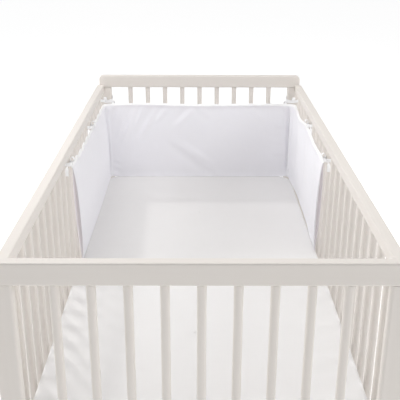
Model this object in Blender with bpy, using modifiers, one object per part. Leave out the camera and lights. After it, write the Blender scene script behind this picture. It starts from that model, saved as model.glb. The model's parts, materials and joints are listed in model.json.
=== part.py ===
"""Crib bumper tied round the head end of a slatted crib, with the crib and its mattress.

Metres, +Z up. The origin is on the floor under the middle of the crib, +Y runs from the foot
end to the head end and +X to the right of someone who stands at the foot end.
"""

import math

import bmesh
import bpy
from mathutils import Vector

# Driving sizes of the crib
SLAT_PITCH = 0.0643
END_PLANE = 0.718
RAIL_TOP = 0.850
END_RAIL_HALF = 0.371
END_RAIL_HIGH = 0.044
END_DEPTH = 0.022
POST_WIDE = 0.044
POST_DEEP = 0.018
SIDE_OUTER = 0.378
SIDE_RAIL_THICK = 0.024
SIDE_RAIL_TOP = 0.816
SIDE_RAIL_HIGH = 0.028
BOTTOM_RAIL_LOW = 0.300
BOTTOM_RAIL_HIGH = 0.044
SLAT_WIDE = 0.017
SLAT_THICK = 0.018
END_SLATS = 9
SIDE_SLATS = 21
SLAT_ROOT = 0.010
SIDE_SLAT_INSET = 0.001
SIDE_SLAT_LINE = SIDE_OUTER - SIDE_SLAT_INSET - SLAT_THICK / 2

# Edge rounding of the timber
RAIL_CORNER = 0.014
EDGE_ROUND = 0.003
POST_ROUND = 0.006
BOARD_ROUND = 0.004
SLAT_ROUND = 0.0075
EDGE_STEPS = 2
SLAT_STEPS = 4

# Gap between touching pieces, and how near to a plane a point counts as on it
GAP = 0.0003
ON_PLANE = 1e-6

# Largest turn between faces that still shades as one surface
TIMBER_ANGLE = math.radians(50)
CLOTH_ANGLE = math.radians(60)

# Mattress and what carries it
BASE_PLAY = 0.004
MATTRESS_WIDE = 0.700
MATTRESS_LONG = 1.400
MATTRESS_HIGH = 0.100
MATTRESS_TOP = 0.460
MATTRESS_CORNER = 0.045
MATTRESS_EDGE = 0.010
BASE_THICK = 0.012
LEDGER_HIGH = 0.020
LEDGER_DEEP = 0.020
LEDGER_HALF = 0.300

# Bumper: the line along its back, then its padded section
BACK_HALF = 0.3585
BACK_HEAD = 0.7065
BACK_CORNER = 0.030
LEFT_END = 0.007
RIGHT_END = 0.073
PAD_THICK = 0.022
SEAM_THICK = 0.003
TOP_LEAN = 0.005
PAD_TOP = 0.745
STATION_STEP = 0.024
CORNER_STATIONS = 5
SIDE_POINTS = 10
END_ROUND = 0.011
END_STATIONS = (0.0, 0.0012, 0.0040, 0.0075)
CROWN_FLAT = 2.6
CROWN_POWER = 0.6
LEAN_RUN = 0.1

# Heights of the top seam above PAD_TOP, along the run from the left end
TOP_LINE = (
    # place, rise
    (0.000, 0.012),
    (0.060, 0.008),
    (0.140, 0.001),
    (0.380, -0.001),
    (0.690, 0.000),
    (0.850, 0.002),
    (1.050, -0.002),
    (1.250, 0.001),
    (1.410, 0.000),
    (1.530, -0.014),
    (1.700, 0.007),
    (1.860, -0.005),
    (2.030, 0.002),
)

# How far the bottom seam stands in from the back line
FOOT_LINE = (
    # place, inset
    (0.000, 0.017),
    (0.400, 0.019),
    (0.690, 0.018),
    (1.050, 0.017),
    (1.400, 0.020),
    (1.600, 0.011),
    (1.800, 0.012),
    (1.950, 0.020),
    (2.030, 0.022),
)

# Main folds of the front cloth: a positive depth is a trough, a negative one a swelling
FOLDS = (
    # place, height share, width, depth, lean
    (0.180, 0.10, 0.060, 0.0020, 0.10),
    (0.470, -0.10, 0.070, 0.0025, -0.15),
    (0.690, 0.00, 0.020, 0.0030, 0.00),
    (0.840, 0.25, 0.045, 0.0030, 0.70),
    (0.990, -0.20, 0.060, 0.0025, 0.90),
    (1.200, 0.10, 0.080, 0.0020, -0.40),
    (1.410, 0.00, 0.022, 0.0030, 0.00),
    (1.520, 0.15, 0.030, 0.0035, 0.05),
    (1.610, -0.05, 0.035, -0.0030, 0.00),
    (1.700, 0.10, 0.030, 0.0035, -0.05),
    (1.800, -0.10, 0.035, -0.0025, 0.05),
    (1.890, 0.10, 0.030, 0.0035, 0.00),
)

# Ties: flat cotton tape round a bar, knotted on its room side
TAPE_WIDE = 0.010
TAPE_THICK = 0.0013
TAPE_CLEAR = 0.0014
TAPE_TURN = 0.0040
KNOT_SPAN = 0.0050
KNOT_PLAY = 0.0012
TIE_RISE = 0.0025
KNOT = (0.0055, 0.0065, 0.0062)
KNOT_OUT = 0.0045
POST_TIE_SLANT = 0.016
LEFT_TIE_SLAT = 0
LEFT_MIDDLE_SLAT = 6
RIGHT_TIE_SLAT = 1
RIGHT_MIDDLE_SLAT = 6

PAINT = (0.83, 0.80, 0.77)
COTTON = (0.86, 0.85, 0.88)
SHEET = (0.80, 0.78, 0.76)
TAPE = (0.90, 0.90, 0.91)
BOARD = (0.70, 0.62, 0.50)


def clear_scene():
    """Remove whatever the scene holds."""
    for thing in list(bpy.data.objects):
        bpy.data.objects.remove(thing, do_unlink=True)


def make_collection(name):
    """Add a collection to the scene."""
    group = bpy.data.collections.new(name)
    bpy.context.scene.collection.children.link(group)
    return group


def make_material(name, colour, roughness):
    """A plain finish with the part's colour."""
    finish = bpy.data.materials.new(name)
    finish.use_nodes = True
    shader = finish.node_tree.nodes["Principled BSDF"]
    shader.inputs["Base Color"].default_value = (*colour, 1.0)
    shader.inputs["Roughness"].default_value = roughness
    shader.inputs["Metallic"].default_value = 0.0
    finish.diffuse_color = (*colour, 1.0)
    return finish


def add_object(name, mesh, finish, group, smooth_angle=None):
    """Link a mesh as a named object with one finish."""
    thing = bpy.data.objects.new(name, mesh)
    group.objects.link(thing)
    if not mesh.materials:
        mesh.materials.append(finish)
    if smooth_angle is not None:
        mesh.shade_smooth()
        mesh.set_sharp_from_angle(angle=smooth_angle)
    return thing


def mesh_from(bm, name):
    """Turn an edit mesh into a mesh with its faces pointing out."""
    bmesh.ops.recalc_face_normals(bm, faces=bm.faces)
    mesh = bpy.data.meshes.new(name)
    bm.to_mesh(mesh)
    bm.free()
    return mesh


def box_mesh(size):
    """A cube edit mesh, scaled to size about its middle."""
    bm = bmesh.new()
    bmesh.ops.create_cube(bm, size=1.0)
    bmesh.ops.scale(bm, vec=Vector(size), verts=bm.verts)
    return bm


def edges_along(bm, axis, test=None):
    """The straight edges that run along one axis, and pass the test on their middle."""
    found = []
    for edge in bm.edges:
        start, end = (v.co for v in edge.verts)
        line = end - start
        if abs(line[axis]) > 0.99 * line.length and (test is None or test((start + end) / 2)):
            found.append(edge)
    return found


def rim_edges(bm, axis, half):
    """The edges that lie in the two planes at plus and minus half along one axis."""
    return [
        edge for edge in bm.edges
        if all(abs(abs(vert.co[axis]) - half) < ON_PLANE for vert in edge.verts)
        and abs(edge.verts[0].co[axis] - edge.verts[1].co[axis]) < ON_PLANE
    ]


def round_edges(bm, edges, radius, segments):
    """Round some edges of an edit mesh."""
    bmesh.ops.bevel(
        bm, geom=edges, offset=radius, offset_type="OFFSET", segments=segments, profile=0.5, affect="EDGES"
    )


def bar(name, size, centre, finish, group, radius=EDGE_ROUND, steps=EDGE_STEPS):
    """A straight timber bar whose long edges are rounded."""
    bm = box_mesh(size)
    axis = max(range(3), key=lambda k: size[k])
    round_edges(bm, edges_along(bm, axis), radius, steps)
    thing = add_object(name, mesh_from(bm, name), finish, group, TIMBER_ANGLE)
    thing.location = centre
    return thing


def top_rail(name, side, finish, group):
    """The top rail of one end, with its two upper corners rounded off."""
    size = (2 * END_RAIL_HALF, END_DEPTH, END_RAIL_HIGH)
    bm = box_mesh(size)
    round_edges(bm, edges_along(bm, 1, lambda middle: middle.z > 0), RAIL_CORNER, 5)
    round_edges(bm, rim_edges(bm, 1, END_DEPTH / 2), EDGE_ROUND, EDGE_STEPS)
    thing = add_object(name, mesh_from(bm, name), finish, group, TIMBER_ANGLE)
    thing.location = (0.0, side * END_PLANE, RAIL_TOP - END_RAIL_HIGH / 2)
    return thing


def build_ends(paint, group):
    """Both ends: posts, top and bottom rails, and nine upright slats each."""
    post_top = RAIL_TOP - END_RAIL_HIGH - GAP
    post_middle = END_RAIL_HALF - POST_WIDE / 2
    rail_half = END_RAIL_HALF - POST_WIDE - GAP
    low = BOTTOM_RAIL_LOW + BOTTOM_RAIL_HIGH + GAP
    for end, side in (("foot", -1), ("head", 1)):
        top_rail(f"{end}_top_rail", side, paint, group)
        bar(
            f"{end}_bottom_rail",
            (2 * rail_half, POST_DEEP, BOTTOM_RAIL_HIGH),
            (0.0, side * END_PLANE, BOTTOM_RAIL_LOW + BOTTOM_RAIL_HIGH / 2),
            paint,
            group,
        )
        for hand, across in (("left", -1), ("right", 1)):
            bar(
                f"{end}_post_{hand}",
                (POST_WIDE, POST_DEEP, post_top),
                (across * post_middle, side * END_PLANE, post_top / 2),
                paint,
                group,
                POST_ROUND,
                SLAT_STEPS,
            )
        for k in range(END_SLATS):
            bar(
                f"{end}_slat_{k + 1}",
                (SLAT_WIDE, SLAT_THICK, post_top - low),
                ((k - (END_SLATS - 1) / 2) * SLAT_PITCH, side * END_PLANE, (post_top + low) / 2),
                paint,
                group,
                SLAT_ROUND,
                SLAT_STEPS,
            )


def side_slat_row(name, across, top):
    """The upright slats of one side as one mesh, their feet inside the bottom rail."""
    low = BOTTOM_RAIL_LOW + BOTTOM_RAIL_HIGH - SLAT_ROOT
    row = bmesh.new()
    for k in range(SIDE_SLATS):
        slat = box_mesh((SLAT_THICK, SLAT_WIDE, top - low))
        round_edges(slat, edges_along(slat, 2), SLAT_ROUND, SLAT_STEPS)
        y = (k - (SIDE_SLATS - 1) / 2) * SLAT_PITCH
        place = Vector((across * SIDE_SLAT_LINE, y, (top + low) / 2))
        bmesh.ops.translate(slat, vec=place, verts=slat.verts)
        piece = bpy.data.meshes.new("slat")
        slat.to_mesh(piece)
        slat.free()
        row.from_mesh(piece)
        bpy.data.meshes.remove(piece)
    return mesh_from(row, name)


def build_sides(paint, group, helpers):
    """Both sides: a top rail, and a bottom rail joined with its row of slats."""
    top_length = 2 * (END_PLANE - END_DEPTH / 2 - GAP)
    bottom_length = 2 * (END_PLANE - POST_DEEP / 2 - GAP)
    for hand, across in (("left", -1), ("right", 1)):
        middle_x = across * (SIDE_OUTER - SIDE_RAIL_THICK / 2)
        bar(
            f"side_top_rail_{hand}",
            (SIDE_RAIL_THICK, top_length, SIDE_RAIL_HIGH),
            (middle_x, 0.0, SIDE_RAIL_TOP - SIDE_RAIL_HIGH / 2),
            paint,
            group,
        )
        rail = bar(
            f"side_slats_{hand}",
            (SIDE_RAIL_THICK, bottom_length, BOTTOM_RAIL_HIGH),
            (middle_x, 0.0, BOTTOM_RAIL_LOW + BOTTOM_RAIL_HIGH / 2),
            paint,
            group,
        )
        name = f"slat_row_{hand}"
        row = side_slat_row(name, across, SIDE_RAIL_TOP - SIDE_RAIL_HIGH - GAP)
        row_object = add_object(name, row, paint, helpers)
        row_object.hide_render = True
        row_object.display_type = "WIRE"
        join = rail.modifiers.new("join slats", "BOOLEAN")
        join.operation = "UNION"
        join.solver = "EXACT"
        join.object = row_object


def build_bed(board, sheet, group):
    """The ledgers on the ends, the base board on them, and the mattress on that."""
    base_top = MATTRESS_TOP - MATTRESS_HIGH - GAP
    base_low = base_top - BASE_THICK
    inner_end = END_PLANE - POST_DEEP / 2
    for end, side in (("foot", -1), ("head", 1)):
        bar(
            f"{end}_ledger",
            (2 * LEDGER_HALF, LEDGER_DEEP, LEDGER_HIGH),
            (0.0, side * (inner_end - GAP - LEDGER_DEEP / 2), base_low - GAP - LEDGER_HIGH / 2),
            board,
            group,
        )
    base = box_mesh((MATTRESS_WIDE - BASE_PLAY, MATTRESS_LONG, BASE_THICK))
    round_edges(base, edges_along(base, 2), BOARD_ROUND, EDGE_STEPS)
    panel = add_object("mattress_base", mesh_from(base, "mattress_base"), board, group, TIMBER_ANGLE)
    panel.location = (0.0, 0.0, base_low + BASE_THICK / 2)

    block = box_mesh((MATTRESS_WIDE, MATTRESS_LONG, MATTRESS_HIGH))
    round_edges(block, edges_along(block, 2), MATTRESS_CORNER, 6)
    round_edges(block, rim_edges(block, 2, MATTRESS_HIGH / 2), MATTRESS_EDGE, EDGE_STEPS)
    mattress = add_object("mattress", mesh_from(block, "mattress"), sheet, group, TIMBER_ANGLE)
    mattress.location = (0.0, 0.0, MATTRESS_TOP - MATTRESS_HIGH / 2)


def smooth_table(table, place):
    """A value read from rows of (place, value), easing from each row to the next."""
    if place <= table[0][0]:
        return table[0][1]
    for (start, low), (end, high) in zip(table, table[1:]):
        if place <= end:
            share = (place - start) / (end - start)
            return low + (high - low) * share * share * (3.0 - 2.0 * share)
    return table[-1][1]


def run_lengths():
    """Lengths of the left side, a corner, the head and the right side along the back line."""
    straight_head = BACK_HEAD - BACK_CORNER
    corner = math.pi / 2 * BACK_CORNER
    return straight_head - LEFT_END, corner, 2 * (BACK_HALF - BACK_CORNER), straight_head - RIGHT_END


def run_point(place):
    """The point of the back line at a distance along the run, and the way into the room."""
    left, corner, head, _ = run_lengths()
    straight_half = BACK_HALF - BACK_CORNER
    straight_head = BACK_HEAD - BACK_CORNER
    if place <= left:
        return Vector((-BACK_HALF, LEFT_END + place, 0.0)), Vector((1.0, 0.0, 0.0))
    place -= left
    if place <= corner:
        turn = place / BACK_CORNER
        out = Vector((-math.cos(turn), math.sin(turn), 0.0))
        return Vector((-straight_half, straight_head, 0.0)) + BACK_CORNER * out, -out
    place -= corner
    if place <= head:
        return Vector((-straight_half + place, BACK_HEAD, 0.0)), Vector((0.0, -1.0, 0.0))
    place -= head
    if place <= corner:
        turn = place / BACK_CORNER
        out = Vector((math.sin(turn), math.cos(turn), 0.0))
        return Vector((straight_half, straight_head, 0.0)) + BACK_CORNER * out, -out
    place -= corner
    return Vector((BACK_HALF, straight_head - place, 0.0)), Vector((-1.0, 0.0, 0.0))


def station_places():
    """Distances along the run where the bumper's section is drawn."""
    left, corner, head, right = run_lengths()
    total = left + 2 * corner + head + right
    places = [*END_STATIONS, END_ROUND]
    start = END_ROUND
    for length, is_corner in ((left - END_ROUND, False), (corner, True), (head, False), (corner, True),
                              (right - END_ROUND, False)):
        count = CORNER_STATIONS if is_corner else max(1, round(length / STATION_STEP))
        places += [start + length * (k + 1) / count for k in range(count)]
        start += length
    places += [total - inset for inset in reversed(END_STATIONS)]
    return places, total


def fold_depth(place, level):
    """How far the front cloth is drawn in at a place and at a height from -1 to 1."""
    depth = 0.0
    for fold_place, height_share, width, fold, lean in FOLDS:
        away = (place - fold_place - lean * LEAN_RUN * (level - height_share)) / width
        depth += fold * math.exp(-away * away) * (1.0 - level * level)
    return depth


def section(place, total):
    """The closed ring of points of the padded section at one place along the run."""
    origin, inward = run_point(place)
    top = PAD_TOP + smooth_table(TOP_LINE, place)
    low = MATTRESS_TOP + GAP
    foot = smooth_table(FOOT_LINE, place)
    to_end = min(place, total - place)
    fullness = 1.0
    if to_end < END_ROUND:
        away = 1.0 - to_end / END_ROUND
        fullness = math.sqrt(max(0.0, 1.0 - away * away))
    front, back = [], []
    for k in range(SIDE_POINTS):
        level = math.sin(math.pi / 2 * (2.0 * k / (SIDE_POINTS - 1) - 1.0))
        crown = max(0.0, 1.0 - abs(level) ** CROWN_FLAT) ** CROWN_POWER
        middle = (foot + TOP_LEAN) / 2 + level * (TOP_LEAN - foot) / 2
        half = SEAM_THICK / 2 + (PAD_THICK - SEAM_THICK) / 2 * crown * fullness
        height = low + (top - low) * (level + 1.0) / 2
        in_front = middle + half - fold_depth(place, level) * crown * fullness
        behind = max(middle - half, 0.0)
        front.append(origin + inward * in_front + Vector((0.0, 0.0, height)))
        back.append(origin + inward * behind + Vector((0.0, 0.0, height)))
    return front + back[::-1]


def build_bumper(cotton, group):
    """The padded bumper: one body lofted round the head end from its unlike sections."""
    places, total = station_places()
    bm = bmesh.new()
    rings = [[bm.verts.new(point) for point in section(place, total)] for place in places]
    count = len(rings[0])
    for ring, following in zip(rings, rings[1:]):
        for k in range(count):
            after = (k + 1) % count
            bm.faces.new((ring[k], ring[after], following[after], following[k]))
    bm.faces.new(rings[0])
    bm.faces.new(rings[-1])
    bmesh.ops.triangulate(bm, faces=[f for f in bm.faces if len(f.verts) > 4])
    return add_object("bumper", mesh_from(bm, "bumper"), cotton, group, CLOTH_ANGLE)


def tape_route(half_deep, half_wide, slant, hand):
    """Points along one tie, from its bow loop round the bar to its free end.

    The route is drawn about the bar's middle: +X into the room, +Y along the bumper. Each row
    adds the way that the tape's width faces, and hand sets the side where the free end hangs.
    """
    deep = half_deep + TAPE_CLEAR
    wide = half_wide + TAPE_CLEAR
    turn_deep = deep - TAPE_TURN
    turn_wide = wide - TAPE_TURN
    near = min(KNOT_SPAN, turn_wide - KNOT_PLAY)
    up = (0.0, 0.0, 1.0)
    across = (0.0, 1.0, 0.0)
    rows = [
        # x, y, z, way of the width
        ((deep + 0.0045, 0.0010, 0.0020), across),
        ((deep + 0.0090, 0.0015, 0.0060), across),
        ((deep + 0.0120, 0.0020, 0.0110), across),
        ((deep + 0.0090, 0.0020, 0.0170), across),
        ((deep + 0.0040, 0.0015, 0.0165), across),
        ((deep + 0.0020, 0.0010, 0.0115), across),
        ((deep + 0.0028, 0.0000, 0.0050), across),
        ((deep + 0.0040, 0.0010, 0.0010), (0.0, 0.6, 1.0)),
        ((deep + 0.0012, near, 0.0000), up),
        ((deep, turn_wide, slant * 0.2), up),
        ((turn_deep, wide, slant * 0.3), up),
        ((-turn_deep, wide, slant * 0.7), up),
        ((-deep, turn_wide, slant * 0.8), up),
        ((-deep, -turn_wide, slant * 0.8), up),
        ((-turn_deep, -wide, slant * 0.7), up),
        ((turn_deep, -wide, slant * 0.3), up),
        ((deep, -turn_wide, slant * 0.2), up),
        ((deep + 0.0012, -near, 0.0000), up),
        ((deep + 0.0045, -0.0010, 0.0000), up),
        ((deep + 0.0058, -0.0070, 0.0005), up),
        ((deep + 0.0030, -wide - 0.0020, 0.0000), (0.0, -0.3, 1.0)),
        ((deep - 0.0030, -wide - 0.0060, -0.0030), (0.1, -1.0, 0.6)),
        ((deep - 0.0055, -wide - 0.0070, -0.0110), (1.0, -0.5, 0.0)),
        ((deep - 0.0068, -wide - 0.0072, -0.0210), (1.0, -0.2, 0.0)),
        ((deep - 0.0072, -wide - 0.0065, -0.0320), (1.0, 0.0, 0.0)),
    ]
    return [((x, hand * y, z), (a, hand * b, c)) for (x, y, z), (a, b, c) in rows]


def tape_mesh(name, route):
    """A tie's tape as a strip of the tape's width, open at its two ends."""
    bm = bmesh.new()
    pairs = []
    for k, (point, facing) in enumerate(route):
        before = Vector(route[max(k - 1, 0)][0])
        after = Vector(route[min(k + 1, len(route) - 1)][0])
        along = (after - before).normalized()
        width = Vector(facing)
        width = (width - along * width.dot(along)).normalized() * TAPE_WIDE / 2
        pairs.append([bm.verts.new(Vector(point) - width), bm.verts.new(Vector(point) + width)])
    for (low, high), (next_low, next_high) in zip(pairs, pairs[1:]):
        bm.faces.new((low, next_low, next_high, high))
    mesh = bpy.data.meshes.new(name)
    bm.to_mesh(mesh)
    bm.free()
    return mesh


def tie_solid(name, half_deep, half_wide, slant, hand, finish, helpers):
    """One tie as a single body: the tape given its thickness and joined to the knot."""
    strip = tape_mesh(f"{name}_tape", tape_route(half_deep, half_wide, slant, hand))
    tape = add_object(f"{name}_tape", strip, finish, helpers)
    thick = tape.modifiers.new("tape thickness", "SOLIDIFY")
    thick.thickness = TAPE_THICK
    thick.offset = 0.0
    thick.use_even_offset = False
    bm = bmesh.new()
    bmesh.ops.create_uvsphere(bm, u_segments=12, v_segments=8, radius=1.0)
    bmesh.ops.scale(bm, vec=Vector(KNOT), verts=bm.verts)
    bmesh.ops.translate(bm, vec=Vector((half_deep + TAPE_CLEAR + KNOT_OUT, 0.0, 0.0)), verts=bm.verts)
    knot = add_object(f"{name}_knot", mesh_from(bm, f"{name}_knot"), finish, helpers)
    join = tape.modifiers.new("join knot", "BOOLEAN")
    join.operation = "UNION"
    join.solver = "EXACT"
    join.use_self = True
    join.object = knot
    graph = bpy.context.evaluated_depsgraph_get()
    solid = bpy.data.meshes.new_from_object(tape.evaluated_get(graph))
    solid.name = name
    for helper in (tape, knot):
        helper.hide_render = True
        helper.display_type = "WIRE"
    return solid


def build_ties(finish, group, helpers):
    """Six ties: one round each head post, and two round the slats of each side."""
    post_x = END_RAIL_HALF - POST_WIDE / 2
    left, corner, head, right = run_lengths()
    total = left + 2 * corner + head + right
    turned_head = -math.pi / 2
    left_middle = LEFT_MIDDLE_SLAT * SLAT_PITCH
    right_middle = RIGHT_MIDDLE_SLAT * SLAT_PITCH
    rows = (
        # name, side, bar's middle, turn, place along the run
        ("tie_left_end", -1, (-SIDE_SLAT_LINE, LEFT_TIE_SLAT * SLAT_PITCH), 0.0, 0.0),
        ("tie_left_middle", -1, (-SIDE_SLAT_LINE, left_middle), 0.0, left_middle - LEFT_END),
        ("tie_left_corner", -1, (-post_x, END_PLANE), turned_head, left + corner),
        ("tie_right_corner", 1, (post_x, END_PLANE), turned_head, left + corner + head),
        ("tie_right_middle", 1, (SIDE_SLAT_LINE, right_middle), math.pi, total - right_middle + RIGHT_END),
        ("tie_right_end", 1, (SIDE_SLAT_LINE, RIGHT_TIE_SLAT * SLAT_PITCH), math.pi, total),
    )
    slat_half = (SLAT_THICK / 2, SLAT_WIDE / 2)
    post_half = (POST_DEEP / 2, POST_WIDE / 2)
    slat_ties = {
        side: tie_solid(f"slat_tie_{side}", *slat_half, 0.0, -side, finish, helpers) for side in (-1, 1)
    }
    post_ties = {
        side: tie_solid(f"post_tie_{side}", *post_half, POST_TIE_SLANT, side, finish, helpers)
        for side in (-1, 1)
    }
    for name, side, (x, y), turn, place in rows:
        solid = (post_ties if "corner" in name else slat_ties)[side]
        tie = add_object(name, solid, finish, group, CLOTH_ANGLE)
        seam = PAD_TOP + max(0.0, smooth_table(TOP_LINE, place))
        tie.location = (x, y, seam + TIE_RISE + TAPE_WIDE / 2)
        tie.rotation_euler = (0.0, 0.0, turn)


def main():
    """Build the crib, its bed and the bumper tied into it."""
    clear_scene()
    group = make_collection("crib_bumper")
    helpers = make_collection("helpers")
    paint = make_material("painted_wood", PAINT, 0.45)
    cotton = make_material("bumper_cotton", COTTON, 0.85)
    sheet = make_material("mattress_sheet", SHEET, 0.88)
    tape = make_material("tie_tape", TAPE, 0.85)
    board = make_material("base_board", BOARD, 0.6)
    build_ends(paint, group)
    build_sides(paint, group, helpers)
    build_bed(board, sheet, group)
    build_bumper(cotton, group)
    build_ties(tape, group, helpers)


main()
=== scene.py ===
"""Looks of the crib bumper, the crib that it is tied into and the mattress that it stands on.

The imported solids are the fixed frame, in metres: +Y runs from the foot end to the head end, +X to the
right of someone at the foot end, and the floor is at zero. The timber and the bed base keep their solids
and get finishes. The bumper, the mattress and the ties are modelled here on the places of theirs.
"""

import json
import logging
import math
from collections.abc import Callable, Sequence
from dataclasses import dataclass
from enum import Enum

import bpy
import numpy as np
from mathutils import Matrix, Vector

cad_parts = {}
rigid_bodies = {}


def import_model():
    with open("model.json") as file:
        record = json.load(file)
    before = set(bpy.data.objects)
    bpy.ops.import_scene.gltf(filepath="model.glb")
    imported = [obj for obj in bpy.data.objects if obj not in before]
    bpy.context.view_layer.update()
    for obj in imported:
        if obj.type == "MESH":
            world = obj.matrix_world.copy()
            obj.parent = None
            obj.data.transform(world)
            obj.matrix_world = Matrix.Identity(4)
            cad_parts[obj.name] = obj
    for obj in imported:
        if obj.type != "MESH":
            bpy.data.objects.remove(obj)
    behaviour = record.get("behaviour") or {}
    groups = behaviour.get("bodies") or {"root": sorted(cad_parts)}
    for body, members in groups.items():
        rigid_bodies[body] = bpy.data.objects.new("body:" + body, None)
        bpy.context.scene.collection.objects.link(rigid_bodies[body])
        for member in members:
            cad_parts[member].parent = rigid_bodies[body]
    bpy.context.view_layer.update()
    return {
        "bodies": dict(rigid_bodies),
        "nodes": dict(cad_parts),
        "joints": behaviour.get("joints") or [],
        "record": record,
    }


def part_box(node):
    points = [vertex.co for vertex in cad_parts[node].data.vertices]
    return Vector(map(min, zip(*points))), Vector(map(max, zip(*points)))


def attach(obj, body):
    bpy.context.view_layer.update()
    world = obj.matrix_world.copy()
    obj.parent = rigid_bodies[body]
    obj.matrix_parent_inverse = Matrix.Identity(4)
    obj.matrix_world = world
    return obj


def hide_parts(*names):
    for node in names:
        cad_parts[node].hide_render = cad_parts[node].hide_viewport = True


LOG = logging.getLogger("crib_bumper")
BODY = "root"
CLOTH_AT = "cloth_at"
# Mask of the painted highlight along the top seam
SEAM_HIGHLIGHT = "seam_highlight_share"
# Mask of the painted shade on the back half of each end face
END_SHADE = "end_shade_share"

# Distance from one slat to the next
SLAT_PITCH = 0.0643

Colour = tuple[float, float, float]
Point = tuple[float, float, float]
Table = Sequence[tuple[float, float]]


# Node trees

class Graph:
    """A node tree being built, with short calls for adding and joining nodes."""

    def __init__(self, tree: bpy.types.NodeTree) -> None:
        """Keep the tree that the calls add to."""
        self.tree = tree

    def node(self, kind: str, inputs: dict | None = None, **settings: object) -> bpy.types.Node:
        """Add a node and fill its inputs.

        Args:
            kind: Blender's name for the node type.
            inputs: Socket names or numbers, each with a socket to link or a value to set.
            **settings: Properties of the node itself.

        Returns:
            The new node.
        """
        node = self.tree.nodes.new(kind)
        for name, value in settings.items():
            setattr(node, name, value)
        for key, value in (inputs or {}).items():
            self.feed(node.inputs[key], value)
        return node

    def feed(self, socket: bpy.types.NodeSocket, value: object) -> None:
        """Link a socket to another socket, or set its plain value.

        Args:
            socket: The input to fill.
            value: A socket to link from, or a number, vector or colour.
        """
        if isinstance(value, bpy.types.NodeSocket):
            self.tree.links.new(value, socket)
        else:
            socket.default_value = value

    def math(self, operation: str, first: object, second: object = 0.0) -> bpy.types.NodeSocket:
        """The result of a Math node on two sockets or numbers."""
        return self.node("ShaderNodeMath", {0: first, 1: second}, operation=operation).outputs[0]

    def spread(self, value: object, low: float, high: float, to_low: float = 0.0,
               to_high: float = 1.0) -> bpy.types.NodeSocket:
        """A value mapped from low..high to to_low..to_high, and held inside that."""
        return self.node("ShaderNodeMapRange", {0: value, 1: low, 2: high, 3: to_low, 4: to_high}).outputs[0]

    def blend(self, share: object, first: object, second: object) -> bpy.types.NodeSocket:
        """Two colours mixed, with the given share of the second."""
        return self.node("ShaderNodeMix", {0: share, 6: first, 7: second}, data_type="RGBA").outputs[2]

    def noise(self, vector: bpy.types.NodeSocket, scale: float, detail: float = 2.0,
              roughness: float = 0.5) -> bpy.types.NodeSocket:
        """Noise at a place, with scale in lumps per metre and detail in finer layers of that roughness."""
        inputs = {"Vector": vector, "Scale": scale, "Detail": detail, "Roughness": roughness}
        return self.node("ShaderNodeTexNoise", inputs).outputs[0]

    def scaled(self, vector: bpy.types.NodeSocket, factors: Point) -> bpy.types.NodeSocket:
        """A vector scaled by a factor for each axis."""
        return self.node("ShaderNodeVectorMath", {0: vector, 1: factors}, operation="MULTIPLY").outputs[0]


def opaque(colour: Colour) -> tuple[float, float, float, float]:
    """A colour with full alpha."""
    return (*colour, 1.0)


def shared_group(name: str, inputs: Sequence[tuple[str, str, object]], outputs: Sequence[tuple[str, str]],
                 build: Callable[[Graph, dict], dict]) -> bpy.types.NodeTree:
    """A shader node group, built the first time that it is asked for.

    Args:
        name: Name of the group.
        inputs: Name, socket type and default of each input.
        outputs: Name and socket type of each output.
        build: Function that gets the graph and the input sockets by name, and returns the output
            sockets by name.

    Returns:
        The node group.
    """
    tree = bpy.data.node_groups.get(name)
    if tree is not None:
        return tree
    tree = bpy.data.node_groups.new(name, "ShaderNodeTree")
    for label, kind, default in inputs:
        socket = tree.interface.new_socket(label, in_out="INPUT", socket_type=kind)
        if default is not None:
            socket.default_value = default
    for label, kind in outputs:
        tree.interface.new_socket(label, in_out="OUTPUT", socket_type=kind)
    graph = Graph(tree)
    entry = graph.node("NodeGroupInput")
    leave = graph.node("NodeGroupOutput")
    results = build(graph, {label: entry.outputs[label] for label, _, _ in inputs})
    for label, socket in results.items():
        graph.feed(leave.inputs[label], socket)
    return tree


FLOAT = "NodeSocketFloat"
VECTOR = "NodeSocketVector"


def plain_weave() -> bpy.types.NodeTree:
    """The group of a plain weave, over one and under one, with uneven threads.

    Returns:
        The node group, with the outputs Height and Slub.
    """
    def build(graph: Graph, given: dict) -> dict:
        """Join the nodes of the weave."""
        turns = graph.math("DIVIDE", 1.0, given["Thread"])
        scaled = graph.node("ShaderNodeVectorMath", {0: given["Place"], "Scale": turns}, operation="SCALE")
        split = graph.node("ShaderNodeSeparateXYZ", {0: scaled.outputs[0]})
        along, across = split.outputs[0], split.outputs[1]
        ridge = [graph.math("ABSOLUTE", graph.math("SINE", graph.math("MULTIPLY", way, math.pi)))
                 for way in (along, across)]
        cell = graph.math("ADD", graph.math("FLOOR", along), graph.math("FLOOR", across))
        over = graph.math("PINGPONG", cell, 1.0)
        height = graph.node("ShaderNodeMix", {0: over, 2: ridge[0], 3: ridge[1]}).outputs[0]
        warp = graph.noise(graph.scaled(given["Place"], (900.0, 14.0, 1.0)), 1.0, 1.0)
        weft = graph.noise(graph.scaled(given["Place"], (14.0, 900.0, 1.0)), 1.0, 1.0)
        slub = graph.math("MULTIPLY", graph.math("ADD", warp, weft), 0.5)
        return {"Height": height, "Slub": slub}

    return shared_group(
        "plain weave",
        [("Place", VECTOR, None), ("Thread", FLOAT, 0.0006)],
        [("Height", FLOAT), ("Slub", FLOAT)],
        build,
    )


def soft_variation() -> bpy.types.NodeTree:
    """The group of broad and fine unevenness of tone that handling and washing leave.

    Returns:
        The node group, with the output Mask.
    """
    def build(graph: Graph, given: dict) -> dict:
        """Join the nodes of the broad and the fine unevenness."""
        broad = graph.spread(graph.noise(given["Place"], 3.2, 3.0), 0.35, 0.70)
        fine = graph.spread(graph.noise(given["Place"], 34.0, 4.0, 0.6), 0.35, 0.70)
        mask = graph.math("ADD", graph.math("MULTIPLY", broad, 0.7), graph.math("MULTIPLY", fine, 0.3))
        return {"Mask": mask}

    return shared_group("soft variation", [("Place", VECTOR, None)], [("Mask", FLOAT)], build)


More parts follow.
